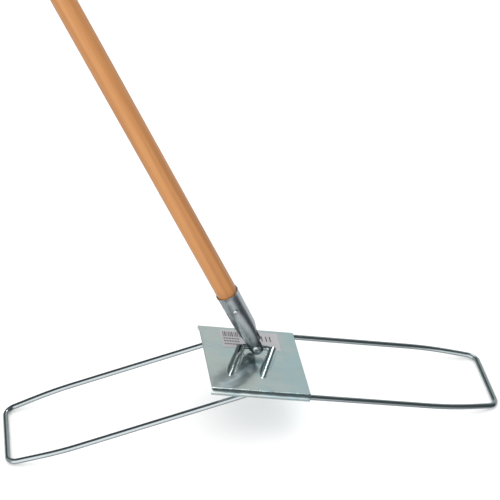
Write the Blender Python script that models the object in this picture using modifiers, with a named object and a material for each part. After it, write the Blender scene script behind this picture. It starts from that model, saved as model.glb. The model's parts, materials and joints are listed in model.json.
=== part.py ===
"""Folding wire dust-mop frame with a universal joint, a forked ferrule and a wooden handle.

The frame stands as a shallow inverted V: the right wire loop is clamped in the plate's rolled
edges, and the left one hangs folded from its hinge under the plate. Metres, +Z up. The origin is
on the floor, under the middle of the bounding box. Every piece is modelled in the centre plate's
own frame (X to the right, Y to the back, Z up from its top face), which is then tilted.
"""

import math

import bmesh
import bpy
from mathutils import Matrix, Vector

# Centre plate
PLATE_WIDTH = 0.110
PLATE_HALF_DEPTH = 0.061
SHEET = 0.0015

# Wire loops
WIRE = 0.006
FIT = 0.0003
ROLL_RADIUS = WIRE / 2 + FIT + SHEET
WIRE_Z = -ROLL_RADIUS
ROLL_Y = PLATE_HALF_DEPTH - ROLL_RADIUS
ROLL_CLAMP_ANGLE = math.radians(280)
CHANNEL_ANGLE = math.radians(-45)
CHANNEL_END_X = -0.001
LOOP_END_HALF_WIDTH = 0.0465
LOOP_CORNER = 0.012
TAPER_BEND = 0.300
LOOP_BENDS = (TAPER_BEND, LOOP_CORNER, LOOP_CORNER, TAPER_BEND)
RIGHT_LOOP_START = 0.002
RIGHT_TAPER_X = 0.219
RIGHT_END_X = 0.275

# Fold hinge of the left loop
HINGE_X = -0.007
FOLD_ANGLE = math.radians(26.5)
LEFT_LEG_Y = 0.0543
LEFT_TAPER = 0.219
LEFT_REACH = 0.2777
HINGE_STUB_Y = 0.034
HINGE_BEND = 0.006
RUNNING = 0.00008
CLIP_SHEET = 0.0012
CLIP_WIDTH = 0.010
CLIP_Y = 0.042
CLIP_FLANGE = 0.009

# Bail: the wire that carries the universal joint
BAIL_Y = 0.0106
BAIL_Z = 0.0092
BAIL_LEFT_X = -0.0145
BAIL_RIGHT_X = 0.0223
BAIL_SLANT = math.radians(21.9)
BAIL_TIP_Y = -0.037
BAIL_BEND = 0.006
HOOD_RADIUS = 0.005
HOOD_FRONT_Y = -0.0344
HOOD_BACK_Y = 0.0095
HOOD_SLOPE = math.atan((BAIL_Z + HOOD_RADIUS) / (BAIL_Y - HOOD_FRONT_Y) * math.cos(BAIL_SLANT))

# Knuckle strap and pivot rivet
KNUCKLE_X = 0.0
PIVOT_RISE = 0.0058
STRAP_SHEET = 0.0015
STRAP_WIDTH = 0.009
STRAP_HALF_SPAN = 0.0092
STRAP_TOP = PIVOT_RISE + STRAP_WIDTH / 2
PIVOT_RADIUS = 0.0024
PIVOT_HEAD = 0.0044
WASHER_RADIUS = 0.0042
WASHER_SHEET = 0.0006

# Ferrule
FERRULE_SHEET = 0.0010
FERRULE_LENGTH = 0.077
FORK_HALF_DEPTH = 0.0120
EAR_RADIUS = 0.0080
FORK_SLOT = 0.0194
FORK_CROTCH = 0.026
SIDE_LEAN = math.radians(-35.2)
FERRULE_RIVET_HEIGHT = 0.057
FERRULE_RIVET_RADIUS = 0.0019
FERRULE_RIVET_HEAD = 0.0029

# Wooden handle
HANDLE_RADIUS = 0.0116
HANDLE_LENGTH = 1.350
HANDLE_START = 0.042
HANDLE_END_ROUND = 0.003

# Label
LABEL_SIZE = (0.067, 0.034)
LABEL_CENTRE = (0.0015, 0.036)
LABEL_THICKNESS = 0.00015
LABEL_GAP = 0.00005

STEEL = (0.60, 0.65, 0.63)
DARK_STEEL = (0.42, 0.44, 0.44)
WOOD = (0.62, 0.33, 0.11)
PAPER = (0.80, 0.76, 0.77)


def loop_end_heights():
    """Height and reach of each loop's end bar below the plate, in the plate's frame."""
    right = Vector((RIGHT_END_X, WIRE_Z))
    left = Vector((HINGE_X - LEFT_REACH * math.cos(FOLD_ANGLE), WIRE_Z - LEFT_REACH * math.sin(FOLD_ANGLE)))
    return right, left


def plate_tilt():
    """Tilt about Y at which both end bars touch the floor."""
    right, left = loop_end_heights()
    return math.atan2(right.y - left.y, right.x - left.x)


def handle_reach():
    """Leftmost point of the handle's upper end, seen from the plate's centre."""
    tilt = plate_tilt()
    lean = SIDE_LEAN + tilt
    pivot = Vector((KNUCKLE_X, BAIL_Z + PIVOT_RISE))
    pivot_x = pivot.x * math.cos(tilt) + pivot.y * math.sin(tilt)
    top = HANDLE_START + HANDLE_LENGTH
    flat_edge = pivot_x + top * math.sin(lean) - (HANDLE_RADIUS - HANDLE_END_ROUND) * math.cos(lean)
    round_centre = flat_edge - HANDLE_END_ROUND * math.sin(lean)
    return round_centre - HANDLE_END_ROUND


def plate_matrix():
    """Where the plate's frame stands: end bars on the floor, bounding box centred on the origin."""
    tilt = plate_tilt()
    right, _ = loop_end_heights()
    height = right.x * math.sin(tilt) - right.y * math.cos(tilt) + WIRE / 2
    rightmost = right.x * math.cos(tilt) + right.y * math.sin(tilt) + WIRE / 2
    centre_x = (rightmost + handle_reach()) / 2
    return Matrix.Translation((-centre_x, 0, height)) @ Matrix.Rotation(tilt, 4, "Y")


def clear_scene():
    """Remove every object that the file opened with."""
    for obj in list(bpy.data.objects):
        bpy.data.objects.remove(obj, do_unlink=True)


def new_collection(name):
    """A collection under the scene's own."""
    collection = bpy.data.collections.new(name)
    bpy.context.scene.collection.children.link(collection)
    return collection


def new_material(name, colour, metallic, roughness):
    """A Principled material with one colour."""
    material = bpy.data.materials.new(name)
    material.use_nodes = True
    shader = material.node_tree.nodes["Principled BSDF"]
    shader.inputs["Base Color"].default_value = (*colour, 1.0)
    shader.inputs["Metallic"].default_value = metallic
    shader.inputs["Roughness"].default_value = roughness
    return material


def new_empty(name, collection, parent, matrix):
    """An empty that carries a sub-assembly, placed in its parent's frame."""
    empty = bpy.data.objects.new(name, None)
    empty.empty_display_size = 0.03
    collection.objects.link(empty)
    empty.parent = parent
    empty.matrix_local = matrix
    return empty


def rounded_path(corners, radii):
    """Points along straight runs joined by arcs, with one radius for each inner corner."""
    corners = [Vector(c) for c in corners]
    path = [corners[0]]
    for before, corner, after, radius in zip(corners, corners[1:], corners[2:], radii):
        back = (before - corner).normalized()
        ahead = (after - corner).normalized()
        turn = back.angle(ahead)
        start = corner + back * radius / math.tan(turn / 2)
        centre = corner + (back + ahead).normalized() * radius / math.sin(turn / 2)
        spoke = start - centre
        side = -back
        sweep = math.pi - turn
        steps = max(3, math.ceil(sweep / math.radians(15)))
        for i in range(steps + 1):
            angle = sweep * i / steps
            path.append(centre + spoke * math.cos(angle) + side * radius * math.sin(angle))
    path.append(corners[-1])
    return path


def new_curve(name, points, collection, cyclic=False, flat=False):
    """A curve object through the points, as straight segments."""
    curve = bpy.data.curves.new(name, "CURVE")
    curve.dimensions = "2D" if flat else "3D"
    spline = curve.splines.new("POLY")
    spline.points.add(len(points) - 1)
    for slot, point in zip(spline.points, points):
        slot.co = (*Vector(point).to_3d(), 1.0)
    spline.use_cyclic_u = cyclic
    obj = bpy.data.objects.new(name, curve)
    collection.objects.link(obj)
    return obj


def mesh_from_curve(obj):
    """Replace a curve object with a closed mesh object of the same name and place."""
    name, matrix = obj.name, obj.matrix_world.copy()
    collection = obj.users_collection[0]
    graph = bpy.context.evaluated_depsgraph_get()
    mesh = bpy.data.meshes.new_from_object(obj.evaluated_get(graph))
    bpy.data.objects.remove(obj)
    shape = bmesh.new()
    shape.from_mesh(mesh)
    bmesh.ops.remove_doubles(shape, verts=shape.verts, dist=1e-6)
    bmesh.ops.recalc_face_normals(shape, faces=shape.faces)
    shape.to_mesh(mesh)
    shape.free()
    made = bpy.data.objects.new(name, mesh)
    made.matrix_world = matrix
    collection.objects.link(made)
    return made


def wire(name, points, collection, radius=WIRE / 2):
    """A bent round wire with closed ends."""
    obj = new_curve(name, points, collection)
    obj.data.bevel_depth = radius
    obj.data.bevel_resolution = 4
    obj.data.use_fill_caps = True
    return mesh_from_curve(obj)


def prism(name, outline, length, collection):
    """A flat outline in XY extruded along Z, centred on the XY plane."""
    obj = new_curve(name, outline, collection, cyclic=True, flat=True)
    obj.data.fill_mode = "BOTH"
    obj.data.extrude = length / 2
    return mesh_from_curve(obj)


def strip(name, path, low, high, thickness, collection):
    """Sheet metal folded along a path in YZ, from X = low to X = high. The path is its middle surface."""
    shape = bmesh.new()
    rows = [[shape.verts.new((x, y, z)) for y, z in path] for x in (low, high)]
    for i in range(len(path) - 1):
        shape.faces.new((rows[0][i], rows[1][i], rows[1][i + 1], rows[0][i + 1]))
    mesh = bpy.data.meshes.new(name)
    shape.to_mesh(mesh)
    shape.free()
    obj = bpy.data.objects.new(name, mesh)
    collection.objects.link(obj)
    solid = obj.modifiers.new("thickness", "SOLIDIFY")
    solid.thickness = thickness
    solid.offset = 0
    solid.use_even_offset = True
    return obj


def cylinder(name, radius, length, collection, matrix=None, sides=32):
    """A solid cylinder along the matrix's Z axis, centred on its origin."""
    shape = bmesh.new()
    bmesh.ops.create_cone(
        shape, cap_ends=True, segments=sides, radius1=radius, radius2=radius, depth=length
    )
    return finish_mesh(name, shape, collection, matrix)


def box(name, low, high, collection, matrix=None):
    """A box between two corners."""
    low, high = Vector(low), Vector(high)
    shape = bmesh.new()
    bmesh.ops.create_cube(shape, size=1.0)
    size = Matrix.Diagonal((*(high - low), 1.0))
    bmesh.ops.transform(shape, matrix=Matrix.Translation((low + high) / 2) @ size, verts=shape.verts)
    return finish_mesh(name, shape, collection, matrix)


def finish_mesh(name, shape, collection, matrix):
    """Turn a bmesh into an object, with the matrix applied to its mesh."""
    if matrix is not None:
        bmesh.ops.transform(shape, matrix=matrix, verts=shape.verts)
    mesh = bpy.data.meshes.new(name)
    shape.to_mesh(mesh)
    shape.free()
    obj = bpy.data.objects.new(name, mesh)
    collection.objects.link(obj)
    return obj


def turned(name, profile, collection, sides=32):
    """A solid of revolution about Z from (radius, height) points, given top to bottom."""
    shape = bmesh.new()
    verts = [shape.verts.new((radius, 0, height)) for radius, height in profile]
    for a, b in zip(verts, verts[1:]):
        shape.edges.new((a, b))
    obj = finish_mesh(name, shape, collection, None)
    screw = obj.modifiers.new("turn", "SCREW")
    screw.axis = "Z"
    screw.steps = sides
    screw.render_steps = sides
    screw.use_merge_vertices = True
    screw.merge_threshold = 1e-6
    return obj


def combine(target, tool, operation):
    """Join or cut the target with the tool, which becomes a hidden helper."""
    tool.hide_render = True
    tool.display_type = "WIRE"
    change = target.modifiers.new(f"{operation.lower()} {tool.name}", "BOOLEAN")
    change.operation = operation
    change.solver = "EXACT"
    change.object = tool


def hang(obj, parent, local):
    """Hang an object on its parent, together with the helpers that shape it."""
    obj.parent = parent
    obj.matrix_local = local
    for modifier in obj.modifiers:
        if modifier.type == "BOOLEAN":
            hang(modifier.object, parent, local)


def place(obj, parent, material, local=None):
    """Hang a finished piece on its parent, give it its material and shade it smooth."""
    hang(obj, parent, Matrix.Identity(4) if local is None else local)
    obj.data.materials.clear()
    obj.data.materials.append(material)
    obj.data.shade_smooth()
    obj.data.set_sharp_from_angle(angle=math.radians(35))


def rolled_plate_path():
    """Middle surface of the plate's section: flat on top, both long edges rolled under."""
    roll = ROLL_RADIUS - SHEET / 2
    steps = 20
    arc = []
    for i in range(steps + 1):
        angle = math.pi / 2 - ROLL_CLAMP_ANGLE * i / steps
        arc.append((ROLL_Y + roll * math.cos(angle), WIRE_Z + roll * math.sin(angle)))
    return [(-y, z) for y, z in reversed(arc)] + arc


def leg_matrix(corner_x, distance):
    """Frame on a bail leg, a distance down from its crossbar corner: X across, Y up, Z down the leg."""
    across = Vector((math.cos(BAIL_SLANT), -math.sin(BAIL_SLANT), 0))
    down = Vector(
        (
            -math.sin(BAIL_SLANT) * math.cos(HOOD_SLOPE),
            -math.cos(BAIL_SLANT) * math.cos(HOOD_SLOPE),
            -math.sin(HOOD_SLOPE),
        )
    )
    up = down.cross(across)
    turn = Matrix((across, up, down)).transposed().to_4x4()
    corner = Vector((corner_x, BAIL_Y, BAIL_Z))
    return Matrix.Translation(corner + down * distance) @ turn


def leg_distance(y):
    """Distance down a bail leg from the crossbar to a given Y."""
    return (BAIL_Y - y) / (math.cos(BAIL_SLANT) * math.cos(HOOD_SLOPE))


def half_round(radius, height):
    """Upper half of a circle whose centre is at a height, from right to left."""
    steps = 12
    angles = [math.pi * i / steps for i in range(steps + 1)]
    return [(radius * math.cos(a), height + radius * math.sin(a)) for a in angles]


def hood_outline(radius, depth):
    """Section of a hood: a half-round top on straight sides."""
    return half_round(radius, 0) + [(-radius, -depth), (radius, -depth)]


def hood_prism(name, corner_x, radius, depth, back_y, front_y, collection):
    """A hood-shaped prism that follows one bail leg between two Y positions."""
    start, end = leg_distance(back_y), leg_distance(front_y)
    obj = prism(name, hood_outline(radius, depth), end - start, collection)
    obj.data.transform(leg_matrix(corner_x, (start + end) / 2))
    return obj


def bail_path():
    """Centre line of the bail, from the left leg's tip to the right leg's."""
    tip = leg_distance(BAIL_TIP_Y)
    corners = [
        leg_matrix(BAIL_LEFT_X, tip).translation,
        (BAIL_LEFT_X, BAIL_Y, BAIL_Z),
        (BAIL_RIGHT_X, BAIL_Y, BAIL_Z),
        leg_matrix(BAIL_RIGHT_X, tip).translation,
    ]
    return rounded_path(corners, [BAIL_BEND] * 2)


def build_plate(pieces, helpers, parent, material):
    """Centre plate: rolled edges, and two pressed hoods over the bail's legs."""
    half = PLATE_WIDTH / 2
    plate = strip("center_plate", rolled_plate_path(), -half, half, SHEET, pieces)
    channel_y = ROLL_Y + (ROLL_RADIUS - SHEET / 2) * math.cos(CHANNEL_ANGLE)
    channel = box(
        "channel_cutter",
        (-half - 0.01, -channel_y, -0.03),
        (CHANNEL_END_X, channel_y, -SHEET - FIT / 2),
        helpers,
    )
    combine(plate, channel, "DIFFERENCE")
    under = box("under_cutter", (-half, -0.05, -0.05), (half, 0.05, -SHEET * 0.6), helpers)
    hidden_front = HOOD_FRONT_Y - 0.006
    for side, corner_x in (("left", BAIL_LEFT_X), ("right", BAIL_RIGHT_X)):
        outer = hood_prism(
            f"{side}_hood", corner_x, HOOD_RADIUS, 0.014, HOOD_BACK_Y, hidden_front, helpers
        )
        combine(outer, under, "DIFFERENCE")
        combine(plate, outer, "UNION")
    for side, corner_x in (("left", BAIL_LEFT_X), ("right", BAIL_RIGHT_X)):
        inner = hood_prism(
            f"{side}_tunnel",
            corner_x,
            HOOD_RADIUS - SHEET,
            0.020,
            HOOD_BACK_Y + 0.004,
            hidden_front,
            helpers,
        )
        combine(plate, inner, "DIFFERENCE")
    passage = wire("bail_passage", bail_path(), helpers, WIRE / 2 + FIT)
    combine(plate, passage, "DIFFERENCE")
    place(plate, parent, material)


def build_label(pieces, parent, material):
    """Plain paper label on the plate's top."""
    half_x, half_y = LABEL_SIZE[0] / 2, LABEL_SIZE[1] / 2
    outline = [(half_x, half_y), (-half_x, half_y), (-half_x, -half_y), (half_x, -half_y)]
    label = prism("label", outline, LABEL_THICKNESS, pieces)
    label.data.transform(Matrix.Translation((*LABEL_CENTRE, LABEL_GAP + LABEL_THICKNESS / 2)))
    place(label, parent, material)


def build_right_loop(pieces, parent, material):
    """Fixed U-shaped loop, clamped along its legs in the plate's rolled edges."""
    half = [
        (RIGHT_LOOP_START, ROLL_Y, WIRE_Z),
        (RIGHT_TAPER_X, ROLL_Y, WIRE_Z),
        (RIGHT_END_X, LOOP_END_HALF_WIDTH, WIRE_Z),
    ]
    corners = half + [(x, -y, z) for x, y, z in reversed(half)]
    loop = wire("right_wire_loop", rounded_path(corners, LOOP_BENDS), pieces)
    place(loop, parent, material)


def build_left_loop(pieces, parent, material):
    """Folding loop in its hinge's frame, with both ends turned in as hinge pins."""
    stub = [(0, HINGE_STUB_Y, 0), (0, LEFT_LEG_Y, 0)]
    half = [(-LEFT_TAPER, LEFT_LEG_Y, 0), (-LEFT_REACH, LOOP_END_HALF_WIDTH, 0)]
    mirrored = [(x, -y, z) for x, y, z in reversed(half)]
    bends = rounded_path([*stub, half[0]], [HINGE_BEND])[:-1]
    far = rounded_path([bends[-1], *half, *mirrored, (0, -LEFT_LEG_Y, 0)], LOOP_BENDS)[1:-1]
    path = bends + far + [Vector((p.x, -p.y, p.z)) for p in reversed(bends)]
    loop = wire("left_wire_loop", path, pieces)
    place(loop, parent, material)


def build_hinge_clips(pieces, parent, material):
    """Two saddles spot-welded under the plate, which hold the folding loop's hinge pins."""
    radius = WIRE / 2 + RUNNING + CLIP_SHEET / 2
    flange_z = -SHEET - FIT - CLIP_SHEET / 2
    steps = 14
    arc = [
        (-radius * math.cos(math.pi * i / steps), WIRE_Z - radius * math.sin(math.pi * i / steps))
        for i in range(steps + 1)
    ]
    ends = (-CLIP_FLANGE, -radius, radius, CLIP_FLANGE)
    flanges = [(y, flange_z) for y in ends]
    path = [*flanges[:2], *arc, *flanges[2:]]
    for side, y in (("back", CLIP_Y), ("front", -CLIP_Y)):
        clip = strip(
            f"hinge_clip_{side}", path, -CLIP_WIDTH / 2, CLIP_WIDTH / 2, CLIP_SHEET, pieces
        )
        turn = Matrix.Rotation(math.pi / 2, 4, "Z")
        place(clip, parent, material, Matrix.Translation((HINGE_X, y, 0)) @ turn)


def build_bail(pieces, parent, material):
    """Skewed U of wire: crossbar above the plate, legs running down through the hoods."""
    bail = wire("bail_wire", bail_path(), pieces)
    place(bail, parent, material)


def along_y(distance=0.0, height=0.0):
    """Matrix that turns a Z axis to point along +Y, at a height."""
    return Matrix.Translation((0, distance, height)) @ Matrix.Rotation(-math.pi / 2, 4, "X")


def build_knuckle(pieces, helpers, parent, material):
    """Strap folded under the crossbar, whose two arms rise to the pivot rivet."""
    middle = WIRE / 2 + RUNNING + STRAP_SHEET / 2
    arm_y = STRAP_HALF_SPAN - STRAP_SHEET / 2
    shoulder = PIVOT_RISE - 0.0024
    lean = math.acos(middle / math.hypot(arm_y, shoulder)) - math.atan2(shoulder, arm_y)
    vertex = -middle / math.sin(lean)
    upper = rounded_path([(-arm_y, STRAP_TOP, 0), (-arm_y, shoulder, 0), (0, vertex, 0)], [0.002])
    lower = rounded_path([(-arm_y, shoulder, 0), (0, vertex, 0), (arm_y, shoulder, 0)], [middle])
    left = [(p.x, p.y) for p in upper[:-1]]
    path = left + [(p.x, p.y) for p in lower[1:-1]] + [(-y, z) for y, z in reversed(left)]
    half = STRAP_WIDTH / 2
    strap = strip("knuckle_strap", path, -half, half, STRAP_SHEET, pieces)
    side = half + 0.001
    skirt = [(-side, 0), (-side, -0.02), (side, -0.02), (side, 0)]
    keep = prism("strap_outline", half_round(half, PIVOT_RISE) + skirt, 0.03, helpers)
    keep.data.transform(Matrix.Rotation(math.pi / 2, 4, "X"))
    combine(strap, keep, "INTERSECT")
    hole = cylinder("strap_hole", PIVOT_RADIUS + RUNNING, 0.04, helpers, along_y(0, PIVOT_RISE))
    combine(strap, hole, "DIFFERENCE")
    place(strap, parent, material)


def rivet_profile(shank, head, low, high, dome):
    """Profile of a rivet about Z, top to bottom: a domed head at each end of its shank."""
    steps = 6
    top = [
        (head * math.sin(math.pi / 2 * i / steps), high + dome * math.cos(math.pi / 2 * i / steps))
        for i in range(steps + 1)
    ]
    bottom = [
        (head * math.cos(math.pi / 2 * i / steps), low - dome * math.sin(math.pi / 2 * i / steps))
        for i in range(steps + 1)
    ]
    return top + [(shank, high), (shank, low)] + bottom


def build_pivot(pieces, helpers, parent, material, washer_material):
    """Pivot rivet through both ears and the strap, with a washer inside each ear."""
    seat = FORK_HALF_DEPTH + FIT
    rivet = turned(
        "pivot_rivet", rivet_profile(PIVOT_RADIUS, PIVOT_HEAD, -seat, seat, 0.0024), pieces
    )
    dimple = cylinder(
        "dimple_cutter", 0.0013, 0.004, helpers, Matrix.Translation((0, 0, -seat - 0.0024)), 16
    )
    combine(rivet, dimple, "DIFFERENCE")
    place(rivet, parent, material, along_y(0, PIVOT_RISE))
    for side, sign in (("front", -1), ("rear", 1)):
        y = sign * (STRAP_HALF_SPAN + FIT + WASHER_SHEET / 2)
        washer = cylinder(f"pivot_washer_{side}", WASHER_RADIUS, WASHER_SHEET, pieces)
        bore = cylinder(f"washer_bore_{side}", PIVOT_RADIUS + RUNNING, 0.01, helpers)
        combine(washer, bore, "DIFFERENCE")
        place(washer, parent, washer_material, along_y(y, PIVOT_RISE))


# Height above the pivot, half width across X, half depth along Y, squareness (2 is round)
FERRULE_SECTIONS = (
    (-0.0100, 0.0083, 0.0120, 3.4),
    (0.0060, 0.0089, 0.0120, 3.4),
    (0.0160, 0.0103, 0.0120, 3.2),
    (0.0280, 0.0114, 0.0120, 2.8),
    (0.0420, 0.0118, 0.0120, 2.3),
    (0.0540, 0.0120, 0.0120, 2.0),
    (0.0735, 0.0123, 0.0123, 2.0),
    (0.0770, 0.0127, 0.0127, 2.0),
)


def smooth_between(a, b, t):
    """Smoothstep blend of two numbers."""
    t = t * t * (3 - 2 * t)
    return a + (b - a) * t


def ferrule_loft(name, inset, extra, collection):
    """Loft through the ferrule's sections, set in by a wall thickness and run past both ends."""
    around, between = 40, 4
    stations = []
    for lower, upper in zip(FERRULE_SECTIONS, FERRULE_SECTIONS[1:]):
        for i in range(between):
            share = i / between
            height = lower[0] + (upper[0] - lower[0]) * share
            stations.append((height, *(smooth_between(lower[k], upper[k], share) for k in (1, 2, 3))))
    stations.append(FERRULE_SECTIONS[-1])
    stations[0] = (stations[0][0] - extra, *stations[0][1:])
    stations[-1] = (stations[-1][0] + extra, *stations[-1][1:])
    shape = bmesh.new()
    rings = []
    for height, half_x, half_y, square in stations:
        ring = []
        for i in range(around):
            angle = 2 * math.pi * i / around
            c, s = math.cos(angle), math.sin(angle)
            x = math.copysign(abs(c) ** (2 / square), c) * (half_x - inset)
            y = math.copysign(abs(s) ** (2 / square), s) * (half_y - inset)
            ring.append(shape.verts.new((x, y, height)))
        rings.append(ring)
    for lower, upper in zip(rings, rings[1:]):
        for i in range(around):
            j = (i + 1) % around
            shape.faces.new((lower[i], lower[j], upper[j], upper[i]))
    shape.faces.new(list(reversed(rings[0])))
    shape.faces.new(rings[-1])
    return finish_mesh(name, shape, collection, None)


def build_ferrule(pieces, helpers, parent, material):
    """Forked ferrule: a round socket pressed into two ears at its lower end."""
    ferrule = ferrule_loft("ferrule", 0.0, 0.0, pieces)
    combine(ferrule, ferrule_loft("socket_bore", FERRULE_SHEET, 0.005, helpers), "DIFFERENCE")
    half = FORK_SLOT / 2
    arch = half_round(half, FORK_CROTCH - half) + [(-half, -0.03), (half, -0.03)]
    slot = prism("fork_slot", arch, 0.05, helpers)
    slot.data.transform(Matrix(((0, 0, 1, 0), (1, 0, 0, 0), (0, 1, 0, 0), (0, 0, 0, 1))))
    combine(ferrule, slot, "DIFFERENCE")
    ends = box("ear_end_box", (-0.02, -0.02, -0.02), (0.02, 0.02, 0), helpers)
    combine(ends, cylinder("ear_round", EAR_RADIUS, 0.06, helpers, along_y(), 48), "DIFFERENCE")
    combine(ferrule, ends, "DIFFERENCE")
    pivot = cylinder("pivot_bore", PIVOT_RADIUS + RUNNING, 0.05, helpers, along_y())
    combine(ferrule, pivot, "DIFFERENCE")
    rivet = cylinder(
        "rivet_bore", FERRULE_RIVET_RADIUS + FIT, 0.05, helpers, along_y(0, FERRULE_RIVET_HEIGHT)
    )
    combine(ferrule, rivet, "DIFFERENCE")
    place(ferrule, parent, material)


def build_ferrule_rivet(pieces, parent, material):
    """Rivet across the socket, which pins the handle."""
    seat = 0.0120 + FIT
    rivet = turned(
        "ferrule_rivet",
        rivet_profile(FERRULE_RIVET_RADIUS, FERRULE_RIVET_HEAD, -seat, seat, 0.0018),
        pieces,
        sides=24,
    )
    place(rivet, parent, material, along_y(0, FERRULE_RIVET_HEIGHT))


def build_handle(pieces, helpers, parent, material):
    """Turned wooden handle with a tapered end inside the socket and a rounded top edge."""
    top = HANDLE_START + HANDLE_LENGTH
    steps = 5
    rounding = [
        (
            HANDLE_RADIUS - HANDLE_END_ROUND + HANDLE_END_ROUND * math.sin(math.pi / 2 * i / steps),
            top - HANDLE_END_ROUND + HANDLE_END_ROUND * math.cos(math.pi / 2 * i / steps),
        )
        for i in range(steps + 1)
    ]
    neck = FERRULE_LENGTH
    profile = [
        (0, top),
        *rounding,
        (HANDLE_RADIUS, neck + 0.006),
        (HANDLE_RADIUS - 0.0007, neck - 0.004),
        (HANDLE_RADIUS - 0.0012, neck - 0.020),
        (HANDLE_RADIUS - 0.0018, HANDLE_START + 0.002),
        (HANDLE_RADIUS - 0.0038, HANDLE_START),
        (0, HANDLE_START),
    ]
    handle = turned("wood_handle", profile, pieces, sides=40)
    hole = cylinder(
        "handle_bore", FERRULE_RIVET_RADIUS + FIT, 0.05, helpers, along_y(0, FERRULE_RIVET_HEIGHT)
    )
    combine(handle, hole, "DIFFERENCE")
    place(handle, parent, material)


def main():
    """Build every piece in its sub-assembly."""
    clear_scene()
    pieces = new_collection("folding_dust_mop_frame")
    helpers = new_collection("cutters")
    steel = new_material("zinc_plated_steel", STEEL, 1.0, 0.30)
    plain_steel = new_material("galvanised_steel", DARK_STEEL, 1.0, 0.38)
    wood = new_material("varnished_wood", WOOD, 0.0, 0.40)
    paper = new_material("paper_label", PAPER, 0.0, 0.60)

    frame = new_empty("frame_axis", pieces, None, plate_matrix())
    fold = Matrix.Translation((HINGE_X, 0, WIRE_Z)) @ Matrix.Rotation(-FOLD_ANGLE, 4, "Y")
    folding = new_empty("fold_axis", pieces, frame, fold)
    crossbar = Matrix.Translation((KNUCKLE_X, BAIL_Y, BAIL_Z))
    knuckle = new_empty("crossbar_axis", pieces, frame, crossbar)
    lean = Matrix.Translation((0, 0, PIVOT_RISE)) @ Matrix.Rotation(SIDE_LEAN, 4, "Y")
    pivot = new_empty("pivot_axis", pieces, knuckle, lean)

    build_plate(pieces, helpers, frame, steel)
    build_label(pieces, frame, paper)
    build_right_loop(pieces, frame, steel)
    build_hinge_clips(pieces, frame, steel)
    build_bail(pieces, frame, steel)
    build_left_loop(pieces, folding, steel)
    build_knuckle(pieces, helpers, knuckle, plain_steel)
    build_pivot(pieces, helpers, knuckle, steel, plain_steel)
    build_ferrule(pieces, helpers, pivot, plain_steel)
    build_ferrule_rivet(pieces, pivot, steel)
    build_handle(pieces, helpers, pivot, wood)


main()
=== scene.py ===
"""Looks of a folding wire dust-mop frame with a universal joint and a wooden handle.

Every piece is modelled in the frame of the assembly that carries it, in metres: the stamped
centre plate, the folding loop's hinge, the crossbar of the joint, or the handle's pivot. Those
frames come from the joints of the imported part, so that each piece lies where its solid does.
"""

import json
import logging
import math
from dataclasses import dataclass, field
from enum import Enum
from typing import Any, Callable, Sequence

import bmesh
import bpy
from mathutils import Matrix, Vector, noise


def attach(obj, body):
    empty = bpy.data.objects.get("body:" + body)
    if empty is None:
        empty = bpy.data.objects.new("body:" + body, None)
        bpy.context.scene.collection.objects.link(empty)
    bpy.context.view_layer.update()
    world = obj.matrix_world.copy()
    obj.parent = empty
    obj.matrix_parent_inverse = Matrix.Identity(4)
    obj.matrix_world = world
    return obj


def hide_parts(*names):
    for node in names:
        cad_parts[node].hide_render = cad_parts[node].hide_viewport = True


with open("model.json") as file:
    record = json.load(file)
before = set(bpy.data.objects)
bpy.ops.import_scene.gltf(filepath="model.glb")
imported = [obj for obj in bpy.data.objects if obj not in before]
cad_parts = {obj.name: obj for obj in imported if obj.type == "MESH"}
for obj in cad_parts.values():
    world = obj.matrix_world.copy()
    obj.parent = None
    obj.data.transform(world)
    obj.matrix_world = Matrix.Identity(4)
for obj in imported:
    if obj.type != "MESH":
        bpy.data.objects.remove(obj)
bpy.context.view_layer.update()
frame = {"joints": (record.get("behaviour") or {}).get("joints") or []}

log = logging.getLogger("dust_mop_frame")

Point2 = tuple[float, float]
Colour = tuple[float, float, float]

# Where the joints lie in the plate's own frame, and how the handle rests
CROSSBAR = Vector((0.0, 0.0106, 0.0092))
PIVOT_RISE = 0.0058
HANDLE_LEAN = math.radians(-35.2)
FOLD_ANGLE = math.radians(26.5)
WIRE_RADIUS = 0.003
SHEET = 0.0015
PRESSED_GAP = 0.0003
RUNNING_GAP = 0.00008
ROLL_RADIUS = WIRE_RADIUS + PRESSED_GAP + SHEET
PIN_RADIUS = 0.0024
EDGE_ROUND = 0.00025
CUT_LENGTH = 0.06

# How finely round shapes are divided, and what counts as the same point
WIRE_SIDES = 28
WIRE_CHAMFER = 0.2
ROUND_SIDES = 48
SAME_POINT = 1e-6


class Body(Enum):
    """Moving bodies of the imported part."""

    FRAME = "frame"
    LOOP = "folding_loop"
    KNUCKLE = "knuckle"
    HANDLE = "handle"


class Slot(Enum):
    """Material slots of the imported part."""

    PLATE = "zinc_plate"
    WIRE = "zinc_wire"
    SHEET_STEEL = "galvanised_sheet"
    RIVET = "bright_rivet"
    WOOD = "varnished_wood"
    PAPER = "paper_label"


# ---------------------------------------------------------------- shader nodes


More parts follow.
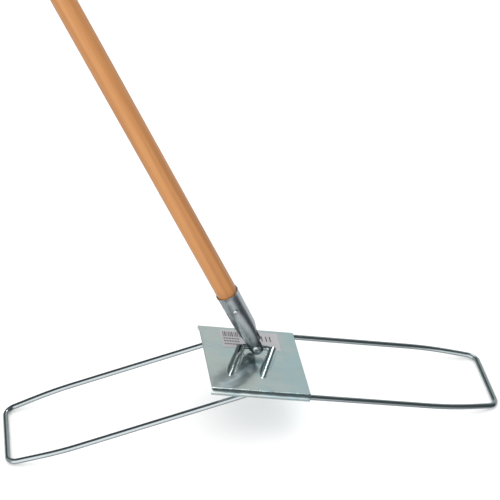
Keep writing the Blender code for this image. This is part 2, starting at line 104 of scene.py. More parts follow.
class NodeTree:
    """Node tree that is built by adding one node after another."""

    def __init__(self, owner: bpy.types.Material | bpy.types.World, output: str) -> None:
        """Empty the owner's tree and give it an output.

        Args:
            owner: Material or world that holds the tree.
            output: Blender's name of the output node's type.
        """
        owner.use_nodes = True
        self.tree = owner.node_tree
        self.tree.nodes.clear()
        self.output = self.tree.nodes.new(output)

    def add(
        self, kind: str, inputs: dict[Any, Any] | None = None, **settings: Any
    ) -> bpy.types.Node:
        """Add a node.

        Args:
            kind: Blender's name of the node type.
            inputs: Socket name or index to a value, or to the output that feeds it.
            settings: Properties of the node.

        Returns:
            The new node.
        """
        node = self.tree.nodes.new(kind)
        for key, value in settings.items():
            setattr(node, key, value)
        for key, value in (inputs or {}).items():
            if isinstance(value, bpy.types.NodeSocket):
                self.tree.links.new(value, node.inputs[key])
            else:
                node.inputs[key].default_value = value
        return node

    def spread(
        self,
        value: bpy.types.NodeSocket,
        low: float,
        high: float,
        to_low: float,
        to_high: float,
        smooth: bool = False,
    ) -> bpy.types.NodeSocket:
        """Map a range of a value to another range, clamped.

        Args:
            value: Socket to map.
            low: Start of the range that is read.
            high: End of the range that is read.
            to_low: Result at the start.
            to_high: Result at the end.
            smooth: Whether to ease in and out.

        Returns:
            The mapped socket.
        """
        inputs = {0: value, 1: low, 2: high, 3: to_low, 4: to_high}
        kind = "SMOOTHSTEP" if smooth else "LINEAR"
        return self.add("ShaderNodeMapRange", inputs, interpolation_type=kind).outputs[0]

    def mix(self, factor: Any, first: Any, second: Any) -> bpy.types.NodeSocket:
        """Blend two colours by a factor.

        Args:
            factor: Number or socket, 0 for the first colour.
            first: Colour or socket.
            second: Colour or socket.

        Returns:
            The blended colour.
        """
        colours = [c if isinstance(c, bpy.types.NodeSocket) else (*c, 1.0) for c in (first, second)]
        inputs = {0: factor, 6: colours[0], 7: colours[1]}
        return self.add("ShaderNodeMix", inputs, data_type="RGBA").outputs[2]

    def math(self, operation: str, *operands: Any) -> bpy.types.NodeSocket:
        """Result of a math operation on numbers or sockets."""
        node = self.add("ShaderNodeMath", dict(enumerate(operands)), operation=operation)
        return node.outputs[0]


class NodeBench(NodeTree):
    """One Principled material, whose patterns follow the frame of an assembly."""

    def __init__(self, name: str, place: Matrix) -> None:
        """Start a material.

        Args:
            name: Name of the material.
            place: Frame in which its patterns lie.
        """
        self.material = bpy.data.materials.new(name)
        super().__init__(self.material, "ShaderNodeOutputMaterial")
        self.shader = self.tree.nodes.new("ShaderNodeBsdfPrincipled")
        self.tree.links.new(self.shader.outputs[0], self.output.inputs["Surface"])
        seen = self.tree.nodes.new("ShaderNodeTexCoord").outputs["Object"]
        inputs = {"Vector": seen, "Location": place.translation, "Rotation": place.to_euler()}
        self.position = self.add("ShaderNodeMapping", inputs, vector_type="TEXTURE").outputs[0]

    def stretched(self, scale: Sequence[float]) -> bpy.types.NodeSocket:
        """Position in the frame, scaled along each axis."""
        mapping = self.add("ShaderNodeMapping", {"Vector": self.position, "Scale": tuple(scale)})
        return mapping.outputs[0]

    def noise(
        self, scale: Sequence[float], detail: float, roughness: float = 0.5
    ) -> bpy.types.NodeSocket:
        """Value of a noise whose cells are stretched.

        Args:
            scale: Cells per metre along each axis.
            detail: Octaves of the noise.
            roughness: Share that each finer octave keeps.

        Returns:
            The noise's value socket.
        """
        inputs = {"Vector": self.stretched(scale), "Scale": 1.0}
        inputs |= {"Detail": detail, "Roughness": roughness}
        return self.add("ShaderNodeTexNoise", inputs).outputs[0]

    def axis(self, index: int) -> bpy.types.NodeSocket:
        """One coordinate of the position in the frame."""
        return self.add("ShaderNodeSeparateXYZ", {0: self.position}).outputs[index]

    def bump(
        self, height: bpy.types.NodeSocket, depth: float, below: Any = None
    ) -> bpy.types.NodeSocket:
        """Add relief to the surface.

        Args:
            height: Socket from 0 to 1.
            depth: Depth of the relief in metres.
            below: Normal of a coarser relief that this one lies on.

        Returns:
            The normal with the relief.
        """
        inputs = {"Height": height, "Distance": depth, "Strength": 1.0}
        if below is not None:
            inputs["Normal"] = below
        return self.add("ShaderNodeBump", inputs).outputs[0]

    def set(self, **values: Any) -> None:
        """Set or feed sockets of the shader, with _ for each space in a name."""
        for key, value in values.items():
            socket = self.shader.inputs[key.replace("_", " ")]
            if isinstance(value, bpy.types.NodeSocket):
                self.tree.links.new(value, socket)
            else:
                socket.default_value = value


def shade(colour: Colour, share: float) -> Colour:
    """Colour made darker or lighter by a share."""
    red, green, blue = colour
    return red * share, green * share, blue * share


@dataclass(frozen=True)
class PlatedSteel:
    """Zinc-plated steel with a faint tint, rolling marks, smudges and a few scratches."""

    name: str
    colour: Colour
    tint: Colour
    roughness: float
    smudge: float
    grain: tuple[float, float, float]
    wave: float

    def make(self, place: Matrix) -> bpy.types.Material:
        """Build the material.

        Args:
            place: Frame in which its patterns lie.

        Returns:
            The material.
        """
        bench = NodeBench(self.name, place)
        clouds = bench.noise((34, 34, 34), 4)
        stains = bench.noise((13, 19, 16), 3, 0.6)
        drift = bench.math("MULTIPLY_ADD", bench.axis(0), 2.2, clouds)
        tinted = bench.mix(bench.spread(drift, 0.38, 0.64, 0, 1), self.colour, self.tint)
        stained = bench.spread(stains, 0.52, 0.74, 0, 0.35)
        dulled = bench.mix(stained, tinted, shade(self.colour, 0.72))
        lines = bench.noise(self.grain, 3, 0.7)
        scored = bench.spread(lines, 0.35, 0.7, 0, 0.22)
        streaked = bench.mix(scored, dulled, shade(self.colour, 0.8))
        dull = bench.spread(stains, 0.35, 0.7, self.roughness, self.roughness + self.smudge)
        rough = bench.math("ADD", dull, bench.spread(lines, 0.3, 0.7, -0.03, 0.05))
        swell = bench.bump(bench.noise((55, 70, 60), 1), self.wave)
        relief = bench.bump(lines, 0.000015, swell)
        bench.set(Base_Color=streaked, Roughness=rough, Metallic=1.0, Normal=relief)
        return bench.material


@dataclass(frozen=True)
class DarkenedFerrule:
    """Galvanised sheet drawn into a socket, with painted shade on its ears round the pivot."""

    name: str
    colour: Colour
    dark: Colour
    # Colour of the painted shade on the ears round the pivot.
    ear_shade: Colour
    roughness: float

    def make(self, place: Matrix) -> bpy.types.Material:
        """Build the material.

        Args:
            place: Frame in which its patterns lie.

        Returns:
            The material.
        """
        bench = NodeBench(self.name, place)
        spangle = bench.noise((240, 240, 90), 3, 0.55)
        drawn = bench.noise((900, 900, 18), 3, 0.65)
        flecks = bench.spread(spangle, 0.35, 0.68, 0, 1)
        base = bench.mix(flecks, self.colour, shade(self.colour, 1.15))
        streaked = bench.mix(bench.spread(drawn, 0.4, 0.72, 0, 0.3), base, self.dark)
        # Painted shade: the ferrule turns dark towards the pivot, over its ears and the lowest
        # centimetre above them.
        ear_shade_share = bench.spread(bench.axis(2), 0.0065, 0.0125, 0.85, 0)
        wear_and_shade = bench.mix(ear_shade_share, streaked, self.ear_shade)
        rough = bench.spread(spangle, 0.3, 0.7, self.roughness - 0.05, self.roughness + 0.1)
        dents = bench.bump(bench.noise((70, 70, 40), 1), 0.00018)
        relief = bench.bump(drawn, 0.00002, dents)
        bench.set(Base_Color=wear_and_shade, Roughness=rough, Metallic=1.0, Normal=relief)
        return bench.material


@dataclass(frozen=True)
class VarnishedWood:
    """Turned hardwood under a satin varnish, with the grain along the handle."""

    name: str
    pale: Colour
    warm: Colour
    dark: Colour

    def make(self, place: Matrix) -> bpy.types.Material:
        """Build the material.

        Args:
            place: Frame in which its patterns lie.

        Returns:
            The material.
        """
        bench = NodeBench(self.name, place)
        wander = bench.noise((14, 14, 1.3), 2)
        figure = bench.noise((150, 150, 2.4), 4, 0.6)
        pores = bench.noise((1500, 1500, 26), 2, 0.6)
        base = bench.mix(bench.spread(wander, 0.34, 0.66, 0, 1), self.pale, self.warm)
        grained = bench.mix(bench.spread(figure, 0.44, 0.70, 0, 0.65), base, self.dark)
        pored = bench.mix(bench.spread(pores, 0.6, 0.8, 0, 0.4), grained, self.dark)
        # The wood is darker over the centimetre just above the ferrule's mouth.
        darker_at_mouth = bench.mix(bench.spread(bench.axis(2), 0.079, 0.088, 0.35, 0), pored, self.dark)
        rough = bench.spread(figure, 0.3, 0.7, 0.36, 0.48)
        relief = bench.bump(bench.math("ADD", figure, pores), 0.00006)
        bench.set(Base_Color=darker_at_mouth, Roughness=rough, Normal=relief)
        bench.set(Coat_Weight=0.35, Coat_Roughness=0.22)
        return bench.material


@dataclass(frozen=True)
class PlainPaper:
    """Uncoated paper or dull print, slightly mottled."""

    name: str
    colour: Colour
    wear_and_shade: Colour
    roughness: float

    def make(self, place: Matrix) -> bpy.types.Material:
        """Build the material.

        Args:
            place: Frame in which its patterns lie.

        Returns:
            The material.
        """
        bench = NodeBench(self.name, place)
        mottle = bench.noise((420, 420, 420), 4, 0.65)
        rubbed = bench.noise((60, 60, 60), 3, 0.6)
        base = bench.mix(bench.spread(mottle, 0.35, 0.7, 0, 0.5), self.colour, self.wear_and_shade)
        colour = bench.mix(bench.spread(rubbed, 0.5, 0.72, 0, 0.6), base, self.wear_and_shade)
        bench.set(Base_Color=colour, Roughness=self.roughness, Normal=bench.bump(mottle, 0.00002))
        return bench.material


PLATE_ZINC = PlatedSteel(
    name="satin_zinc_plate",
    colour=(0.73, 0.78, 0.76),
    tint=(0.61, 0.755, 0.79),
    roughness=0.19,
    smudge=0.06,
    grain=(40, 700, 700),
    wave=0.0006,
)
WIRE_ZINC = PlatedSteel(
    name="bright_zinc_wire",
    colour=(0.50, 0.53, 0.54),
    tint=(0.44, 0.48, 0.49),
    roughness=0.12,
    smudge=0.05,
    grain=(30, 800, 800),
    wave=0.0001,
)
RIVET_ZINC = PlatedSteel(
    name="bright_rivet_steel",
    colour=(0.74, 0.75, 0.74),
    tint=(0.52, 0.55, 0.56),
    roughness=0.24,
    smudge=0.10,
    grain=(300, 300, 300),
    wave=0.0002,
)
STRAP_ZINC = PlatedSteel(
    name="dull_strap_steel",
    colour=(0.40, 0.44, 0.45),
    tint=(0.32, 0.36, 0.37),
    roughness=0.26,
    smudge=0.10,
    grain=(60, 900, 900),
    wave=0.0002,
)
FERRULE_ZINC = DarkenedFerrule(
    name="galvanised_ferrule",
    colour=(0.54, 0.56, 0.58),
    dark=(0.36, 0.39, 0.41),
    # The ear colour is painted shade round the pivot.
    ear_shade=(0.13, 0.155, 0.165),
    roughness=0.26,
)
HANDLE_WOOD = VarnishedWood(
    name="varnished_handle_wood",
    pale=(0.49, 0.220, 0.068),
    warm=(0.41, 0.170, 0.045),
    dark=(0.25, 0.090, 0.022),
)
LABEL_PAPER = PlainPaper("label_paper", (0.40, 0.385, 0.40), (0.36, 0.36, 0.365), 0.5)
LABEL_INK = PlainPaper("label_ink", (0.05, 0.045, 0.05), (0.10, 0.09, 0.10), 0.6)


# ---------------------------------------------------------------- shapes


def around(count: int) -> list[float]:
    """Angles of a full turn in equal steps."""
    return [2 * math.pi * k / count for k in range(count)]


def spaced(start: float, end: float, count: int) -> list[float]:
    """Values from start to end in a number of equal steps."""
    return [start + (end - start) * i / count for i in range(count + 1)]


def arc_steps(sweep: float, fine: float = math.radians(5)) -> int:
    """Number of segments for an arc of a given sweep."""
    return max(4, math.ceil(sweep / fine))


def rounded_path(corners: Sequence[Sequence[float]], radii: Sequence[float]) -> list[Vector]:
    """Points along straight runs joined by arcs.

    Args:
        corners: Start, inner corners and end of the path.
        radii: Bend radius at each inner corner.

    Returns:
        The points, with both ends of each arc.
    """
    points = [Vector(c) for c in corners]
    path = [points[0]]
    for before, corner, after, radius in zip(points, points[1:], points[2:], radii):
        back = (before - corner).normalized()
        ahead = (after - corner).normalized()
        turn = back.angle(ahead)
        start = corner + back * radius / math.tan(turn / 2)
        centre = corner + (back + ahead).normalized() * radius / math.sin(turn / 2)
        spoke = start - centre
        sweep = math.pi - turn
        steps = arc_steps(sweep)
        for i in range(steps + 1):
            angle = sweep * i / steps
            path.append(centre + spoke * math.cos(angle) - back * radius * math.sin(angle))
    path.append(points[-1])
    return path


def object_from(name: str, shape: bmesh.types.BMesh) -> bpy.types.Object:
    """Turn a bmesh into an object with outward faces.

    Args:
        name: Name of the object.
        shape: Mesh to take over.

    Returns:
        The new object, linked to the scene.
    """
    mesh = bpy.data.meshes.new(name)
    bmesh.ops.recalc_face_normals(shape, faces=shape.faces)
    shape.to_mesh(mesh)
    shape.free()
    obj = bpy.data.objects.new(name, mesh)
    bpy.context.scene.collection.objects.link(obj)
    return obj


def join_rings(
    shape: bmesh.types.BMesh, rings: Sequence[Sequence[Vector]], closed: bool = False
) -> None:
    """Skin rings of equal length, with a cap on the first and last.

    Args:
        shape: Mesh that receives the faces.
        rings: Rings of points, in order.
        closed: Whether the last ring joins the first, with no caps.
    """
    loops = [[shape.verts.new(p) for p in ring] for ring in rings]
    pairs = list(zip(loops, loops[1:]))
    if closed:
        pairs.append((loops[-1], loops[0]))
    count = len(loops[0])
    for lower, upper in pairs:
        for i in range(count):
            j = (i + 1) % count
            shape.faces.new((lower[i], lower[j], upper[j], upper[i]))
    if not closed:
        shape.faces.new(list(reversed(loops[0])))
        shape.faces.new(loops[-1])


def drawn_wire(name: str, path: Sequence[Vector]) -> bpy.types.Object:
    """Round wire along a path, with its cut ends slightly chamfered.

    Args:
        name: Name of the object.
        path: Centre line.

    Returns:
        The wire's object.
    """
    points: list[Vector] = []
    for p in path:
        if not points or (p - points[-1]).length > SAME_POINT:
            points.append(p)
    tangents = []
    for i, p in enumerate(points):
        before = points[max(i - 1, 0)]
        after = points[min(i + 1, len(points) - 1)]
        tangents.append((after - before).normalized())
    across = tangents[0].orthogonal().normalized()
    cut, inset = WIRE_RADIUS * (1 - WIRE_CHAMFER), WIRE_RADIUS * WIRE_CHAMFER
    rings = []
    for i, (p, tangent) in enumerate(zip(points, tangents)):
        across = (across - tangent * across.dot(tangent)).normalized()
        up = tangent.cross(across)
        stations = [(p, WIRE_RADIUS)]
        if i == 0:
            stations = [(p, cut), (p + tangent * inset, WIRE_RADIUS)]
        elif i == len(points) - 1:
            stations = [(p - tangent * inset, WIRE_RADIUS), (p, cut)]
        for centre, size in stations:
            spokes = (across * math.cos(a) + up * math.sin(a) for a in around(WIRE_SIDES))
            rings.append([centre + spoke * size for spoke in spokes])
    shape = bmesh.new()
    join_rings(shape, rings)
    return object_from(name, shape)


def turned(
    name: str,
    profile: Sequence[Point2],
    sides: int = ROUND_SIDES,
    wobble: Callable[[float, float], float] = lambda angle, height: 0.0,
) -> bpy.types.Object:
    """Solid of revolution about Z.

    Args:
        name: Name of the object.
        profile: (radius, height) from bottom to top, without points on the axis.
        sides: Sides of its section.
        wobble: Extra radius at an angle and height.

    Returns:
        The turned object.
    """
    rings = []
    for radius, height in profile:
        ring = []
        for angle in around(sides):
            size = radius + wobble(angle, height)
            ring.append(Vector((size * math.cos(angle), size * math.sin(angle), height)))
        rings.append(ring)
    shape = bmesh.new()
    join_rings(shape, rings)
    return object_from(name, shape)


def thicken(obj: bpy.types.Object, thickness: float, offset: float) -> None:
    """Give an open sheet its thickness.

    Args:
        obj: Sheet to change.
        thickness: Thickness in metres.
        offset: 0 for both sides of the surface, -1 for the side under it.
    """
    solid = obj.modifiers.new("thickness", "SOLIDIFY")
    solid.thickness = thickness
    solid.offset = offset
    solid.use_even_offset = True
    settle(obj)


def sheet_strip(
    name: str, path: Sequence[Point2], width: float, thickness: float
) -> bpy.types.Object:
    """Sheet metal folded along a path in YZ.

    Args:
        name: Name of the object.
        path: (y, z) points on the sheet's middle surface.
        width: Width along X, centred.
        thickness: Thickness of the sheet.

    Returns:
        The folded sheet.
    """
    shape = bmesh.new()
    left, right = ([shape.verts.new((x, y, z)) for y, z in path] for x in (-width / 2, width / 2))
    for i in range(len(path) - 1):
        shape.faces.new((left[i], right[i], right[i + 1], left[i + 1]))
    obj = object_from(name, shape)
    thicken(obj, thickness, 0)
    return obj


def prism(name: str, outline: Sequence[Point2], depth: float, matrix: Matrix) -> bpy.types.Object:
    """Flat outline in XY extruded along Z, centred, then placed.

    Args:
        name: Name of the object.
        outline: Closed outline, counter-clockwise.
        depth: Length along Z.
        matrix: Placement that is applied to the mesh.

    Returns:
        The prism.
    """
    shape = bmesh.new()
    rings = [[matrix @ Vector((x, y, z)) for x, y in outline] for z in (-depth / 2, depth / 2)]
    join_rings(shape, rings)
    return object_from(name, shape)


def round_rod(name: str, radius: float, depth: float, matrix: Matrix) -> bpy.types.Object:
    """Round cutter along the matrix's Z axis."""
    outline = [(radius * math.cos(a), radius * math.sin(a)) for a in around(ROUND_SIDES)]
    return prism(name, outline, depth, matrix)


def half_round(radius: float, height: float, steps: int = 24) -> list[Point2]:
    """Upper half of a circle whose centre is at a height, from right to left."""
    angles = [math.pi * i / steps for i in range(steps + 1)]
    return [(radius * math.cos(a), height + radius * math.sin(a)) for a in angles]


def carve(
    target: bpy.types.Object, tool: bpy.types.Object, operation: str = "DIFFERENCE"
) -> None:
    """Apply a Boolean to the target and remove the tool.

    Args:
        target: Object that is changed.
        tool: Closed object that cuts or joins it.
        operation: Blender's name of the operation.
    """
    change = target.modifiers.new("carve", "BOOLEAN")
    change.operation = operation
    change.solver = "EXACT"
    change.object = tool
    settle(target)
    bpy.data.objects.remove(tool)


def settle(obj: bpy.types.Object) -> None:
    """Apply every modifier of an object to its mesh.

    Args:
        obj: Object to change.
    """
    bpy.context.view_layer.update()
    graph = bpy.context.evaluated_depsgraph_get()
    mesh = bpy.data.meshes.new_from_object(obj.evaluated_get(graph))
    obj.modifiers.clear()
    obj.data = mesh


def soften(obj: bpy.types.Object, width: float, segments: int = 2, angle: float = 35) -> None:
    """Round the sharp edges of an object.

    Args:
        obj: Object to change.
        width: Width of the rounding.
        segments: Segments across it.
        angle: Edges sharper than this, in degrees, are rounded.
    """
    bevel = obj.modifiers.new("soften", "BEVEL")
    bevel.width = width
    bevel.segments = segments
    bevel.limit_method = "ANGLE"
    bevel.angle_limit = math.radians(angle)
    bevel.use_clamp_overlap = True
    settle(obj)


def along_y(distance: float = 0.0, height: float = 0.0) -> Matrix:
    """Matrix that turns a Z axis to point along +Y, at a distance and a height."""
    return Matrix.Translation((0, distance, height)) @ Matrix.Rotation(-math.pi / 2, 4, "X")


@dataclass
class Stand:
    """Where each assembly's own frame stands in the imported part."""

    plate: Matrix = field(init=False)
    fold: Matrix = field(init=False)
    crossbar: Matrix = field(init=False)
    pivot: Matrix = field(init=False)

    def __post_init__(self) -> None:
        """Read the joints and work out the four frames."""
        joints = {j["name"]: j for j in frame["joints"]}
        along = Vector(joints["handle_fore_aft"]["axis"])
        tilt = Matrix.Rotation(math.atan2(-along.z, along.x), 4, "Y")
        corner = Vector(joints["handle_fore_aft"]["pos_m"])
        self.plate = Matrix.Translation(corner) @ tilt @ Matrix.Translation(-CROSSBAR)
        self.crossbar = Matrix.Translation(corner) @ tilt
        hinge = Matrix.Translation(Vector(joints["loop_fold"]["pos_m"]))
        self.fold = hinge @ tilt @ Matrix.Rotation(-FOLD_ANGLE, 4, "Y")
        lean = Matrix.Rotation(HANDLE_LEAN, 4, "Y")
        self.pivot = Matrix.Translation(Vector(joints["handle_side"]["pos_m"])) @ tilt @ lean

    def seat(
        self,
        obj: bpy.types.Object,
        place: Matrix,
        body: Body,
        slot: Slot,
        finishes: Sequence[bpy.types.Material],
        node: str,
        sharp: float = 40,
    ) -> None:
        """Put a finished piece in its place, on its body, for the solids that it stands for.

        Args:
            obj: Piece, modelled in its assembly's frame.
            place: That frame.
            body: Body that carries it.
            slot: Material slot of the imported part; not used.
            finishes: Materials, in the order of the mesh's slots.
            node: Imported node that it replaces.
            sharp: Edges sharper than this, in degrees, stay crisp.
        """
        obj.data.transform(place)
        for finish in finishes:
            obj.data.materials.append(finish)
        obj.data.shade_smooth()
        obj.data.set_sharp_from_angle(angle=math.radians(sharp))
        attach(obj, body.value)
        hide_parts(node)
        log.info("%s on %s, %d faces", obj.name, body.value, len(obj.data.polygons))


# ---------------------------------------------------------------- centre plate


@dataclass
class Bail:
    """Skewed U of wire that carries the joint, and the path of its legs."""

    left_x: float = -0.0145
    right_x: float = 0.0223
    slant: float = math.radians(21.9)
    bend: float = 0.006
    tip_y: float = -0.037
    hood_radius: float = 0.005
    hood_front_y: float = -0.0344

    def leg_height(self, y: float) -> float:
        """Height of a leg's axis over the plate at a given Y."""
        drop = (CROSSBAR.z + self.hood_radius) / (CROSSBAR.y - self.hood_front_y)
        return CROSSBAR.z - drop * (CROSSBAR.y - y)

    def leg_x(self, corner_x: float, y: float) -> float:
        """X of a leg's axis at a given Y."""
        return corner_x - math.tan(self.slant) * (CROSSBAR.y - y)

    def path(self) -> list[Vector]:
        """Centre line from the left leg's tip to the right leg's.

        Returns:
            Points in the plate's frame.
        """
        sides = (self.left_x, self.right_x)
        tip_z = self.leg_height(self.tip_y)
        tips = [(self.leg_x(x, self.tip_y), self.tip_y, tip_z) for x in sides]
        corners = [(x, CROSSBAR.y, CROSSBAR.z) for x in sides]
        return rounded_path([tips[0], *corners, tips[1]], [self.bend] * 2)

    def build(self, stand: Stand, finish: bpy.types.Material) -> None:
        """Make the wire and seat it on the frame."""
        wire = drawn_wire("bail", self.path())
        stand.seat(wire, stand.plate, Body.FRAME, Slot.WIRE, [finish], "bail_wire")


@dataclass
class CentrePlate:
    """Pressed plate: flat top, two hoods over the bail's legs and both long edges rolled under."""

    bail: Bail
    half_width: float = 0.055
    roll_y: float = 0.061 - ROLL_RADIUS
    clamp_angle: float = math.radians(280)
    channel_angle: float = math.radians(135)
    clamp_from_x: float = -0.001
    fillet: float = 0.0016
    hood_end_y: float = 0.0082
    hood_margin: float = 0.004
    nose_half_width: float = 0.0035
    straight_from_y: float = 0.052
    skew_fade: float = 0.012
    edge_round: float = 0.0003
    fillet_steps: int = 6
    arch_steps: int = 12
    flat_columns: tuple[int, int, int] = (10, 10, 14)
    back_rows: int = 16
    hood_rows: int = 44
    front_rows: int = 8
    roll_steps: int = 36

    def arch(self, centre: float) -> list[Point2]:
        """Half of a hood's section, from its foot to its crown.

        Args:
            centre: Height of the arch's centre over the plate.

        Returns:
            (distance from the hood's axis, height) points.
        """
        radius, fillet = self.bail.hood_radius, self.fillet
        full = []
        for i in range(self.fillet_steps + 1):
            angle = math.pi / 2 * i / self.fillet_steps
            reach = radius + fillet - fillet * math.sin(angle)
            full.append((reach, fillet - fillet * math.cos(angle)))
        for i in range(self.arch_steps + 1):
            angle = math.pi / 2 * i / self.arch_steps
            height = max(centre, fillet) + radius * math.sin(angle)
            full.append((radius * math.cos(angle), height))
        if centre >= fillet:
            return full
        span = radius + fillet
        foot = math.sqrt(max(span**2 - (fillet - centre) ** 2, 0))
        width = max(foot, self.nose_half_width)
        section = []
        for reach, _ in full:
            x = reach / span * width
            if x >= foot:
                height = 0.0
            elif x < foot * radius / span:
                height = centre + math.sqrt(radius**2 - x**2)
            else:
                height = fillet - math.sqrt(max(fillet**2 - (foot - x) ** 2, 0))
            section.append((x, max(height, 0.0)))
        return section

    def row(self, y: float, raised: bool) -> list[Vector]:
        """Points across the flat top at one station.

        Args:
            y: Station along the depth.
            raised: Whether the hoods stand here.

        Returns:
            Points from the left edge to the right edge.
        """
        bail, margin = self.bail, self.hood_margin
        station = min(max(y, bail.hood_front_y - margin), CROSSBAR.y + margin)
        skewed = min(max((self.straight_from_y - abs(y)) / self.skew_fade, 0.0), 1.0)
        half = self.arch(bail.leg_height(station))
        section = [(-d, z) for d, z in half] + [(d, z) for d, z in reversed(half[:-1])]
        hoods = []
        for corner_x in (bail.left_x, bail.right_x):
            axis = bail.leg_x(corner_x, station)
            points = []
            for d, z in section:
                x = axis + d * math.cos(bail.slant)
                shift = -d * math.sin(bail.slant) * skewed
                points.append(Vector((x, y + shift, z if raised else 0.0)))
            hoods.append(points)
        edges = [Vector((x, y, 0)) for x in (-self.half_width, self.half_width)]
        left, middle, right = self.flat_columns
        row = self.flat_run(edges[0], hoods[0][0], left)
        row += hoods[0] + self.flat_run(hoods[0][-1], hoods[1][0], middle)[1:]
        row += hoods[1] + self.flat_run(hoods[1][-1], edges[1], right)[1:] + [edges[1]]
        return row

    @staticmethod
    def flat_run(start: Vector, end: Vector, steps: int) -> list[Vector]:
        """Points on a straight run, without its end."""
        return [start.lerp(end, i / steps) for i in range(steps)]

    def stations(self) -> list[tuple[float, bool]]:
        """Rows of the flat top from back to front, with the hoods' open ends doubled.

        Returns:
            (y, whether the hoods stand there) for each row.
        """
        front_y = self.bail.hood_front_y - self.hood_margin
        back = spaced(self.roll_y, self.hood_end_y, self.back_rows)
        hoods = spaced(self.hood_end_y, front_y, self.hood_rows)
        front = spaced(front_y, -self.roll_y, self.front_rows)[1:]
        return [(y, rows is hoods) for rows in (back, hoods, front) for y in rows]

    def build(self, stand: Stand, finish: bpy.types.Material) -> None:
        """Make the plate and seat it on the frame.

        Args:
            stand: Frames of the assemblies.
            finish: Material of the plate.
        """
        shape = bmesh.new()
        rows = [[shape.verts.new(p) for p in self.row(y, raised)] for y, raised in self.stations()]
        left, middle, _ = self.flat_columns
        across = 2 * (self.fillet_steps + self.arch_steps + 1)
        under_hoods = {start + i for start in (left, left + across + middle) for i in range(across)}
        for r, (upper, lower) in enumerate(zip(rows, rows[1:])):
            for c in range(len(upper) - 1):
                # The hoods are open at the back, where the bail's legs go in.
                if r == self.back_rows and c in under_hoods:
                    continue
                shape.faces.new((lower[c], lower[c + 1], upper[c + 1], upper[c]))
        for edge, sign in ((rows[0], 1), (rows[-1], -1)):
            self.roll(shape, edge, sign)
        bmesh.ops.remove_doubles(shape, verts=shape.verts, dist=SAME_POINT / 10)
        obj = object_from("pressed_plate", shape)
        # The sheet grows downwards, so its first face, on the flat top, has to face up.
        if obj.data.polygons[0].normal.z < 0:
            obj.data.flip_normals()
        thicken(obj, SHEET, -1)
        soften(obj, self.edge_round, angle=60)
        stand.seat(obj, stand.plate, Body.FRAME, Slot.PLATE, [finish], "center_plate", 50)

    def roll(
        self, shape: bmesh.types.BMesh, edge: Sequence[bmesh.types.BMVert], sign: int
    ) -> None:
        """Roll one long edge under, right round the clamped wire and half round the folding one.

        Args:
            shape: Mesh that receives the roll.
            edge: Vertices along the flat's edge.
            sign: 1 at the back, -1 at the front.
        """
        previous = list(edge)
        for angle in spaced(0, self.clamp_angle, self.roll_steps)[1:]:
            turn = math.pi / 2 - angle
            y = sign * (self.roll_y + ROLL_RADIUS * math.cos(turn))
            z = -ROLL_RADIUS + ROLL_RADIUS * math.sin(turn)
            current = []
            for vertex in edge:
                inside = vertex.co.x >= self.clamp_from_x or angle <= self.channel_angle
                current.append(shape.verts.new((vertex.co.x, y, z)) if inside else None)
            for c in range(len(edge) - 1):
                corners = (previous[c], previous[c + 1], current[c + 1], current[c])
                if None not in corners:
                    shape.faces.new(corners)
            previous = current


@dataclass
class PaperLabel:
    """Plain label on the plate, with bars and rules that spell nothing."""

    size: Point2 = (0.067, 0.034)
    centre: Point2 = (0.0015, 0.036)
    lift: float = 0.00005
    thickness: float = 0.00012
    print_height: float = 0.00003
    print_sink: float = 0.00002
    margin: float = 0.0030
    bar_widths: tuple[float, ...] = (0.0009, 0.0015, 0.0007, 0.0012)
    bar_gaps: tuple[float, ...] = (0.0010, 0.0008, 0.0013)
    bars_end: float = 0.0240
    bar_span: Point2 = (0.0215, 0.0305)
    dash: Point2 = (0.0020, 0.0024)
    dash_pitch: float = 0.0031
    dash_rows: tuple[Point2, ...] = ((0.0165, 0.0205), (0.0115, 0.0215), (0.0060, 0.0215))
    strokes: tuple[float, ...] = (0.0470, 0.0520, 0.0565)
    stroke_width: float = 0.0013
    stroke_span: Point2 = (0.0165, 0.0265)

    def marks(self) -> list[tuple[float, float, float, float]]:
        """Printed marks: uneven bars, rows of dashes and three strokes.

        Returns:
            (left, right, low, high) of each, from the label's own lower left corner.
        """
        marks = []
        x, step = self.margin, 0
        while x < self.bars_end:
            width = self.bar_widths[step % len(self.bar_widths)]
            marks.append((x, x + width, *self.bar_span))
            x += width + self.bar_gaps[step % len(self.bar_gaps)]
            step += 1
        for low, length in self.dash_rows:
            x = self.margin
            while x < length:
                marks.append((x, x + self.dash[0], low, low + self.dash[1]))
                x += self.dash_pitch
        marks += [(x, x + self.stroke_width, *self.stroke_span) for x in self.strokes]
        return marks

    def slab(self, shape: bmesh.types.BMesh, box: Sequence[float], slot: int) -> None:
        """Add a flat block.

        Args:
            shape: Mesh that receives it.
            box: Left, right, low, high, bottom and top.
            slot: Material slot of its faces.
        """
        left, right, low, high, bottom, top = box
        made = bmesh.ops.create_cube(shape, size=1.0)["verts"]
        size = Matrix.Diagonal((right - left, high - low, top - bottom, 1.0))
        place = Matrix.Translation(((left + right) / 2, (low + high) / 2, (bottom + top) / 2))
        bmesh.ops.transform(shape, matrix=place @ size, verts=made)
        for face in {f for v in made for f in v.link_faces}:
            face.material_index = slot

    def build(self, stand: Stand, paper: bpy.types.Material, ink: bpy.types.Material) -> None:
        """Make the label and seat it on the frame.

        Args:
            stand: Frames of the assemblies.
            paper: Material of the label.
            ink: Material of its print.
        """
        left = self.centre[0] - self.size[0] / 2
        low = self.centre[1] - self.size[1] / 2
        top = self.lift + self.thickness
        shape = bmesh.new()
        self.slab(shape, (left, left + self.size[0], low, low + self.size[1], self.lift, top), 0)
        bottom, crest = top - self.print_sink, top + self.print_height
        for x0, x1, y0, y1 in self.marks():
            self.slab(shape, (left + x0, left + x1, low + y0, low + y1, bottom, crest), 1)
        obj = object_from("paper_label", shape)
        stand.seat(obj, stand.plate, Body.FRAME, Slot.PAPER, [paper, ink], "label")


